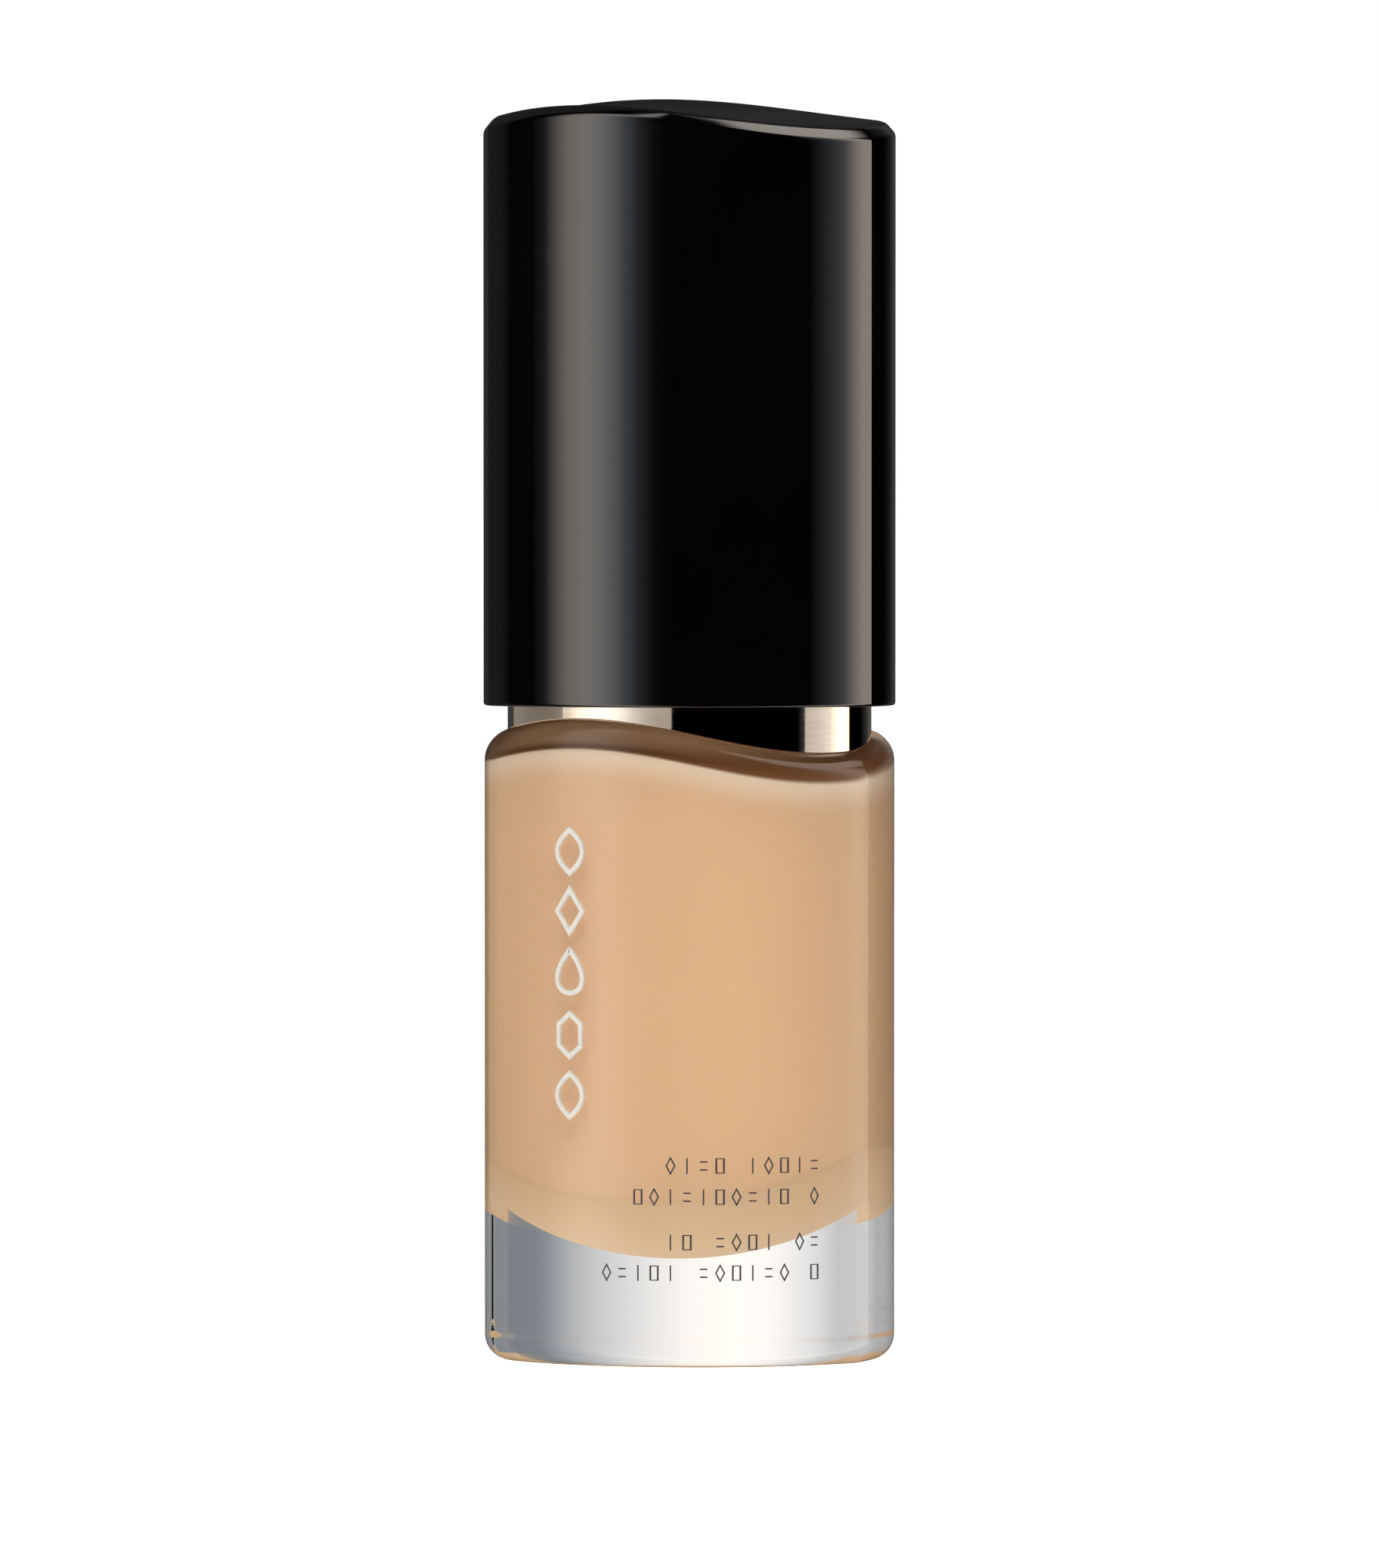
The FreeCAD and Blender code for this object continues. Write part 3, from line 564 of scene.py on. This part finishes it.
def make_collar():
    """The metal collar: a skirt that follows the shoulder, and a deck with a round hole."""
    sheet = 0.4 * MM
    hole = 7.3 * MM
    seat_gap = 0.05 * MM
    edge = 0.25 * MM
    hem = 0.06 * MM
    hole_edge = 0.08 * MM
    top = COLLAR_HIGH.z
    outer = plan_loop(COLLAR_INSET, CREASE_ROUND)
    rings = [lifted(plan_loop(COLLAR_INSET + sheet * 0.5, CREASE_ROUND), shoulder, seat_gap)]
    rings.append(lifted(plan_loop(COLLAR_INSET + hem, CREASE_ROUND), shoulder, seat_gap))
    rings.append(lifted(outer, shoulder, seat_gap + hem))
    rings.append(lifted(outer, shoulder, seat_gap + 2 * NUDGE))
    rings.append(level(outer, top - edge - NUDGE))
    for sine, cosine in quarter(6):
        loop = plan_loop(COLLAR_INSET + edge * (1 - cosine), CREASE_ROUND)
        rings.append(level(loop, top - edge * (1 - sine)))
    deck_edge = plan_loop(COLLAR_INSET + edge, CREASE_ROUND)
    bore = circle_loop(hole, deck_edge)
    for share in (0.3, 0.6, 0.9):
        rings.append(level(mixed(deck_edge, bore, share), top))
    rings.append(level(circle_loop(hole + hole_edge, deck_edge), top))
    rings.append(level(bore, top - hole_edge))
    rings.append(level(bore, top - sheet))
    inner = plan_loop(COLLAR_INSET + sheet, CREASE_ROUND)
    for share in (0.3, 0.6, 0.9, 1.0):
        rings.append(level(mixed(bore, inner, share), top - sheet))
    rings.append(lifted(inner, shoulder, seat_gap + 2 * NUDGE))
    rings.append(lifted(inner, shoulder, seat_gap))
    rings.append(rings[0])
    collar = loft("collar", rings)
    give(collar, champagne())
    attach(collar, "bottle")
    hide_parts("outer_collar")
    return collar


def soft_corner(before, corner, after, steps):
    """Points of a curve that rounds a corner between two points."""
    points = []
    for step in range(steps + 1):
        share = step / steps
        points.append(before.lerp(corner, share).lerp(corner.lerp(after, share), share))
    return points


def make_cap():
    """The cap: a wall, a bevel with softened edges and a wavy top, hollow up to a flat ceiling."""
    crease = 0.3 * MM
    edge = 0.3 * MM
    bevel_in, bevel_up = 0.85 * MM, 0.95 * MM
    lower_soft, upper_soft = 0.28 * MM, 0.35 * MM
    thick = 1.15 * MM
    ceiling = 104.6 * MM
    low = CAP_LOW.z
    outside = -CAP_PROUD
    rings = []
    for sine, cosine in quarter(5):
        loop = plan_loop(outside + edge * (1 - sine), crease)
        rings.append(level(loop, low + edge * (1 - cosine)))
    wall = plan_loop(outside, crease)
    rings.append(level(wall, low + edge + 2 * NUDGE))
    rings.append(lifted(wall, cap_top, -lower_soft - 2 * NUDGE))
    foot = Vector((0.0, 0.0))
    brow = Vector((bevel_in, bevel_up))
    slope = brow.normalized()
    below = foot - Vector((0.0, lower_soft))
    beyond = brow + Vector((upper_soft, 0.0))
    bevel = soft_corner(below, foot, slope * lower_soft, 5)
    bevel += soft_corner(brow - slope * upper_soft, brow, beyond, 6)
    for inset, rise in bevel:
        rings.append(lifted(plan_loop(outside + inset, crease), cap_top, rise))
    rim = plan_loop(outside + bevel_in + upper_soft + NUDGE, crease)
    top_steps = 10
    for step in range(top_steps, 0, -1):
        rings.append(lifted(shrunk(rim, step / top_steps), cap_top, bevel_up))
    inner = plan_loop(outside + thick, crease)
    inside = [level(plan_loop(outside + thick - NUDGE, crease), low)]
    inside.append(level(inner, low + NUDGE))
    inside.append(level(inner, ceiling))
    for share in (0.7, 0.35):
        inside.append(level(shrunk(inner, share), ceiling))
    top_point = (0.0, 0.0, cap_top(0.0, 0.0) + bevel_up)
    cap = loft("cap", inside[::-1] + rings, (0.0, 0.0, ceiling), top_point)
    give(cap, gloss_black())
    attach(cap, "cap")
    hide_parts("cap_shell")


# ------------------------------------------------------------------ marks on the glass

STROKE_SHARP = math.radians(40)


def on_front(along, height, proud):
    """A point over the front of the glass: distance along the arc from its middle, height, rise."""
    angle = along / FRONT_RADIUS
    radius = FRONT_RADIUS + proud
    return (radius * math.sin(angle), FRONT_CENTRE - radius * math.cos(angle), height)


def ribbon(points, width, closed, thick, crown):
    """Vertices and faces of a stroke on the front of the glass, with sloped shoulders across."""
    # across, as a share of the width, and up, as a share of the thickness
    section = ((-0.5, -0.5), (-0.5, crown), (-0.36, 1.0), (0.36, 1.0), (0.5, crown), (0.5, -0.5))
    count = len(points)
    vertices = []
    for index, (x, z) in enumerate(points):
        before = points[index - 1] if closed or index else points[index]
        after = points[(index + 1) % count] if closed or index < count - 1 else points[index]
        along = Vector((after[0] - before[0], after[1] - before[1])).normalized()
        into = Vector((x - before[0], z - before[1]))
        out = Vector((after[0] - x, after[1] - z))
        stretch = 1.0
        if into.length and out.length:
            # a mitre, at most twice the stroke's width
            stretch = 1.0 / max(0.5, math.cos(0.5 * into.angle(out)))
        across = Vector((along.y, -along.x)) * width * stretch
        for side, rise in section:
            vertices.append(on_front(x + across.x * side, z + across.y * side, rise * thick))
    faces = []
    size = len(section)
    for index in range(count if closed else count - 1):
        following = (index + 1) % count
        near, far = index * size, following * size
        for corner in range(size):
            turn = (corner + 1) % size
            faces.append((near + corner, near + turn, far + turn, far + corner))
    if not closed:
        faces.append(tuple(range(size))[::-1])
        faces.append(tuple((count - 1) * size + corner for corner in range(size)))
    return vertices, faces


def strokes_mesh(name, strokes, material):
    """One piece from several strokes."""
    vertices, faces = [], []
    for stroke in strokes:
        new_vertices, new_faces = ribbon(**stroke)
        start = len(vertices)
        vertices += new_vertices
        faces += [tuple(corner + start for corner in face) for face in new_faces]
    piece = smooth_piece(name, vertices, faces, STROKE_SHARP)
    give(piece, material)
    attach(piece, "bottle")


def leaf(half_w, half_t):
    """A pointed oval."""
    steps = 12
    spans = [2 * step / steps - 1 for step in range(steps)]
    right = [(half_w * (1 - span**2), half_t * span) for span in spans]
    return right + [(-x, -z) for x, z in right]


def drop(half_w, half_t):
    """A drop with its point at the top."""
    steps = 24
    fullness = 1.3
    outline = []
    for step in range(steps):
        angle = WHOLE_TURN * step / steps
        width = half_w * fullness * math.sin(angle) * abs(math.sin(angle / 2))
        outline.append((width, half_t * math.cos(angle)))
    return outline


def polygon(half_w, half_t, corners):
    """An upright outline with a corner at its top and bottom."""
    angles = [WHOLE_TURN * corner / corners for corner in range(corners)]
    return [(half_w * math.sin(angle), half_t * math.cos(angle)) for angle in angles]


def make_marks():
    """Five plain raised shapes in a column on the left of the front."""
    column = -9.15 * MM
    half_w, half_t = 1.3 * MM, 1.9 * MM
    stroke = dict(width=0.46 * MM, closed=True, thick=0.2 * MM, crown=0.45)
    shapes = (
        leaf(half_w, half_t),
        polygon(half_w, half_t, 4),
        drop(half_w, half_t),
        polygon(half_w, half_t, 6),
        leaf(half_w, half_t),
    )
    heights = (45.5, 40.25, 34.9, 29.3, 24.0)
    strokes = []
    for outline, height in zip(shapes, heights):
        points = [(column + x, height * MM + z) for x, z in outline]
        strokes.append(dict(points=points, **stroke))
    strokes_mesh("front_marks", strokes, raised_white())


def make_print():
    """Four rows of small printed signs, ending on one line at the right."""
    right_end = 13.9 * MM
    pitch = 1.46 * MM
    tall = 1.4 * MM
    half = 0.42 * MM
    ink = dict(width=0.13 * MM, thick=0.02 * MM, crown=0.9)
    row_heights = (17.9, 15.15, 11.15, 8.45)
    rows = ("o|=# |o#|=", "#o|=|#o=|# o", "|# =o#| o=", "o=|#| =o#|=o #")
    drawings = {
        "|": ([(0.0, -0.5), (0.0, 0.5)],),
        "=": ([(-0.8, 0.25), (0.8, 0.25)], [(-0.8, -0.25), (0.8, -0.25)]),
        "#": ([(-0.8, -0.45), (0.8, -0.45), (0.8, 0.45), (-0.8, 0.45)],),
        "o": ([(0.0, -0.5), (0.9, 0.0), (0.0, 0.5), (-0.9, 0.0)],),
        " ": (),
    }
    strokes = []
    for row, height in zip(rows, row_heights):
        for index, sign in enumerate(reversed(row)):
            centre = right_end - half - index * pitch
            for line in drawings[sign]:
                points = [(centre + x * half, height * MM + z * tall) for x, z in line]
                strokes.append(dict(points=points, closed=len(line) > 2, **ink))
    strokes_mesh("front_print", strokes, grey_ink())


# ------------------------------------------------------------------ spring and CAD pieces


def spring_rings(coil_radius, base, rise):
    """Rings of points round the wire of a right-handed coil that climbs from base."""
    steps_round, steps_along = 12, 220
    slope = SPRING_PITCH / (WHOLE_TURN * coil_radius)
    angles = [WHOLE_TURN * corner / steps_round for corner in range(steps_round)]
    rings = []
    for step in range(steps_along + 1):
        climb = rise * step / steps_along
        turn = WHOLE_TURN * climb / SPRING_PITCH
        outward = Vector((math.cos(turn), math.sin(turn), 0.0))
        across = Vector((-slope * math.sin(turn), slope * math.cos(turn), -1.0)).normalized()
        middle = coil_radius * outward + Vector((0.0, 0.0, base + climb))
        ring = []
        for angle in angles:
            round_wire = math.cos(angle) * outward + math.sin(angle) * across
            ring.append(middle + SPRING_WIRE * round_wire)
        rings.append(ring)
    return rings


def ring_middle(ring):
    """The middle of a ring of points."""
    return sum(ring, Vector((0.0, 0.0, 0.0))) / len(ring)


def make_spring():
    """The pump's coil spring, which is squashed as the pump head goes down."""
    low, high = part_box("return_spring")
    rise = high.z - low.z - 2 * SPRING_WIRE
    rings = spring_rings(high.x - SPRING_WIRE, low.z + SPRING_WIRE, rise)
    spring = loft("pump_spring", rings, ring_middle(rings[0]), ring_middle(rings[-1]))
    give(spring, steel())
    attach(spring, "bottle")
    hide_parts("return_spring")
    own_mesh(spring)


def dress_nodes():
    """Materials for the CAD pieces that stay."""
    finishes = {
        "gloss_black": gloss_black(),
        "black_plastic": moulded("black_plastic", (0.010, 0.010, 0.011), (0.022, 0.022, 0.024)),
        "white_plastic": moulded(
            "white_plastic", (0.72, 0.72, 0.70), (0.80, 0.80, 0.78), milky=0.05
        ),
        "natural_plastic": moulded(
            "natural_plastic", (0.60, 0.62, 0.62), (0.72, 0.73, 0.72), milky=0.15
        ),
        "soft_seal": moulded("soft_seal", (0.55, 0.55, 0.53), (0.66, 0.66, 0.64), (0.5, 0.65)),
        "steel": steel(),
    }
    slots = {entry["node"]: entry["material_slot"] for entry in frame["record"]["subparts"]}
    for name, node in frame["nodes"].items():
        if slots[name] in finishes:
            give(node, finishes[slots[name]])


# ------------------------------------------------------------------ stage, light and camera

CAMERA_TURN = math.radians(7.6)  # the camera stands this far to the right of the bottle's front
CAMERA_AWAY = 1.171
CAMERA_HEIGHT = 0.0768
CAMERA_TILT = math.radians(1.2534)
LENS = 301.9
SENSOR = 36.0
LAMP_TARGET = Vector((0.0, 0.0, 0.055))


def make_floor():
    """A wide white floor that reflections, refractions and shadows pass by."""
    half = 40.0
    under_glass = 0.02 * MM
    camera_glow = 0.8
    mesh = bpy.data.meshes.new("floor")
    corners = [(-half, -half, 0), (half, -half, 0), (half, half, 0), (-half, half, 0)]
    mesh.from_pydata(corners, [], [(0, 1, 2, 3)])
    floor = bpy.data.objects.new("floor", mesh)
    floor.location.z = GLASS_LOW.z - under_glass
    bpy.context.scene.collection.objects.link(floor)
    material, tree, shader = new_material("floor")
    grain = noise(tree, 30.0, 3.0)
    colour = tinted(tree, grain.outputs["Fac"], (0.90, 0.90, 0.90), (0.93, 0.93, 0.93))
    tree.links.new(colour, shader.inputs["Base Color"])
    shader.inputs["Roughness"].default_value = 0.7
    shader.inputs["Emission Color"].default_value = (1.0, 1.0, 1.0, 1.0)
    path = tree.nodes.new("ShaderNodeLightPath")
    glow = tree.nodes.new("ShaderNodeMath")
    glow.operation = "MULTIPLY"
    glow.inputs[1].default_value = camera_glow
    tree.links.new(path.outputs["Is Camera Ray"], glow.inputs[0])
    tree.links.new(glow.outputs["Value"], shader.inputs["Emission Strength"])
    floor.visible_glossy = False
    floor.visible_transmission = False
    floor.visible_shadow = False
    give(floor, material)


BRIGHTEST = 2.0  # a colour ramp ends at 1, so its stops are divided by this


def shade(light, warmth):
    """A grey of a brightness, made warmer or cooler."""
    shift = 0.1 * warmth
    return (light * (1 + shift), light, light * (1 - shift), 1.0)


def light_round(tree, turn, stops):
    """A colour by the direction round from the camera, from stops of degrees, light and warmth."""
    around = tree.nodes.new("ShaderNodeValToRGB")
    ramp = around.color_ramp
    while len(ramp.elements) < len(stops):
        ramp.elements.new(0.5)
    for element, (degrees, light, warmth) in zip(ramp.elements, stops):
        element.position = (degrees + 180) / 360
        element.color = shade(light / BRIGHTEST, warmth)
    tree.links.new(turn, around.inputs["Fac"])
    scaled = tree.nodes.new("ShaderNodeVectorMath")
    scaled.operation = "SCALE"
    scaled.inputs["Scale"].default_value = BRIGHTEST
    tree.links.new(around.outputs["Color"], scaled.inputs[0])
    return scaled.outputs["Vector"]


# Stops round from the camera: degrees, positive to its right, then light and warmth.
# Polished surfaces reflect the studio, and the backdrop shows through the clear glass.
STUDIO = (
    (-180, 0.03, 0.0), (-165, 0.05, 0.0), (-124, 0.06, 0.0), (-112, 0.05, 0.0), (-104, 0.0, -1.0),
    (-88, 0.0, -1.0), (-80, 0.08, -1.0), (-75, 0.42, 0.5), (-66, 1.08, 1.3), (-57, 1.30, 1.0),
    (-50, 1.18, 0.3), (-43, 0.84, -0.3), (-36, 0.42, -0.8), (-29, 0.14, -1.0), (-22, 0.02, -1.0),
    (-14, 0.0, 0.0), (56, 0.0, 0.0), (62, 0.08, -1.0), (70, 0.22, -0.6), (76, 0.42, 0.0),
    (82, 1.05, 1.0), (87, 1.6, 1.3), (94, 1.6, 1.3), (99, 0.0, 0.0), (140, 0.0, 0.0),
    (152, 0.03, 0.0), (164, 0.10, 0.0), (174, 0.03, 0.0), (180, 0.03, 0.0),
)
BACKDROP = (
    (-180, 0.99, 0.5), (-172, 1.07, 0.7), (-164, 1.02, 0.4), (-154, 0.83, 0.2), (-142, 0.58, 0.0),
    (-120, 0.55, 0.0), (-50, 0.56, 0.0), (-33, 0.50, 0.0), (0, 0.48, 0.0), (30, 0.34, 0.0),
    (50, 0.24, -0.8), (125, 0.22, -0.9), (144, 0.24, -0.9), (149, 0.30, -0.8), (158, 0.47, -0.3),
    (165, 0.64, 0.0), (173, 0.85, 0.3), (180, 0.99, 0.5),
)


def make_world():
    """Soft studio light by direction, with one lamp high at the right, behind the bottle."""
    world = bpy.data.worlds.new("studio")
    bpy.context.scene.world = world
    world.use_nodes = True
    tree = world.node_tree
    tree.nodes.clear()
    nodes, links = tree.nodes, tree.links
    place = nodes.new("ShaderNodeTexCoord")
    turned = nodes.new("ShaderNodeVectorRotate")
    turned.rotation_type = "Z_AXIS"
    turned.inputs["Angle"].default_value = -CAMERA_TURN
    links.new(place.outputs["Generated"], turned.inputs["Vector"])
    split = nodes.new("ShaderNodeSeparateXYZ")
    links.new(turned.outputs["Vector"], split.inputs["Vector"])
    away = nodes.new("ShaderNodeMath")
    away.operation = "MULTIPLY"
    away.inputs[1].default_value = -1.0
    links.new(split.outputs["Y"], away.inputs[0])
    angle = nodes.new("ShaderNodeMath")
    angle.operation = "ARCTAN2"
    links.new(split.outputs["X"], angle.inputs[0])
    links.new(away.outputs["Value"], angle.inputs[1])
    turn = nodes.new("ShaderNodeMapRange")
    turn.inputs["From Min"].default_value = -math.pi
    turn.inputs["From Max"].default_value = math.pi
    links.new(angle.outputs["Value"], turn.inputs["Value"])
    walls = light_round(tree, turn.outputs["Result"], STUDIO)
    lamp = nodes.new("ShaderNodeVectorMath")
    lamp.operation = "DOT_PRODUCT"
    lamp_turn, lamp_rise = math.radians(100), math.radians(60)
    lamp.inputs[1].default_value = (
        math.sin(lamp_turn) * math.cos(lamp_rise),
        -math.cos(lamp_turn) * math.cos(lamp_rise),
        math.sin(lamp_rise),
    )
    links.new(turned.outputs["Vector"], lamp.inputs[0])
    inside_lamp = stepped(tree, lamp.outputs["Value"], 0.93, 0.98)
    studio = mixed_colour(tree, inside_lamp, walls, shade(1.9, 1.0))
    backdrop = light_round(tree, turn.outputs["Result"], BACKDROP)
    path = nodes.new("ShaderNodeLightPath")
    seen = mixed_colour(tree, path.outputs["Is Transmission Ray"], studio, backdrop)
    shown = mixed_colour(tree, path.outputs["Is Camera Ray"], seen, shade(1.0, 0.0))
    light = nodes.new("ShaderNodeBackground")
    links.new(shown, light.inputs["Color"])
    output = nodes.new("ShaderNodeOutputWorld")
    links.new(light.outputs["Background"], output.inputs["Surface"])


def add_lamp(name, turn, height, away, size, power):
    """A soft square lamp facing the bottle, at degrees round from the camera.

    Polished surfaces and the clear glass don't show it.
    """
    data = bpy.data.lights.new(name, "AREA")
    data.shape = "SQUARE"
    data.size = size
    data.energy = power
    data.cycles.use_multiple_importance_sampling = False
    lamp = bpy.data.objects.new(name, data)
    heading = math.radians(turn) + CAMERA_TURN
    lamp.location = (away * math.sin(heading), -away * math.cos(heading), height)
    lamp.rotation_euler = (LAMP_TARGET - lamp.location).to_track_quat("-Z", "Y").to_euler()
    lamp.visible_camera = False
    lamp.visible_glossy = False
    lamp.visible_transmission = False
    bpy.context.scene.collection.objects.link(lamp)


def add_card(piece, turn, away, size, brightness):
    """A bright card that only one piece reflects, at degrees round from the camera."""
    data = bpy.data.lights.new("card", "AREA")
    data.shape = "RECTANGLE"
    data.size, data.size_y = size
    data.energy = brightness * math.pi * size[0] * size[1]
    data.color = (1.0, 0.94, 0.86)
    card = bpy.data.objects.new("card", data)
    heading = math.radians(turn) + CAMERA_TURN
    card.location = (away * math.sin(heading), -away * math.cos(heading), COLLAR_LOW.z)
    card.rotation_euler = (math.pi / 2, 0.0, heading)
    card.visible_camera = False
    receivers = bpy.data.collections.new("card_receivers")
    receivers.objects.link(piece)
    card.light_linking.receiver_collection = receivers
    bpy.context.scene.collection.objects.link(card)


def make_camera():
    """The camera, with a long lens, a little above the bottle's middle."""
    data = bpy.data.cameras.new("camera")
    data.lens = LENS
    data.sensor_width = SENSOR
    data.clip_start = 0.01
    data.clip_end = 200.0
    camera = bpy.data.objects.new("camera", data)
    across, along = math.sin(CAMERA_TURN), -math.cos(CAMERA_TURN)
    camera.location = (CAMERA_AWAY * across, CAMERA_AWAY * along, CAMERA_HEIGHT)
    camera.rotation_euler = (math.pi / 2 - CAMERA_TILT, 0.0, CAMERA_TURN)
    bpy.context.scene.collection.objects.link(camera)
    bpy.context.scene.camera = camera


make_camera()
make_glass()
make_liquid()
collar = make_collar()
make_cap()
make_marks()
make_print()
make_spring()
dress_nodes()
make_floor()
make_world()
add_lamp("key", turn=-6, height=1.1, away=0.8, size=0.9, power=9.2)
add_lamp("back_fill", turn=175, height=0.7, away=1.0, size=1.0, power=6.0)
add_lamp("under_fill", turn=0, height=-0.6, away=0.1, size=0.8, power=2.4)
add_card(collar, turn=-46, away=0.5, size=(0.62, 0.4), brightness=0.45)
add_card(collar, turn=-99, away=0.5, size=(0.42, 0.4), brightness=0.22)
add_card(collar, turn=73, away=0.5, size=(0.24, 0.4), brightness=0.6)
bpy.context.scene.view_settings.view_transform = "Standard"
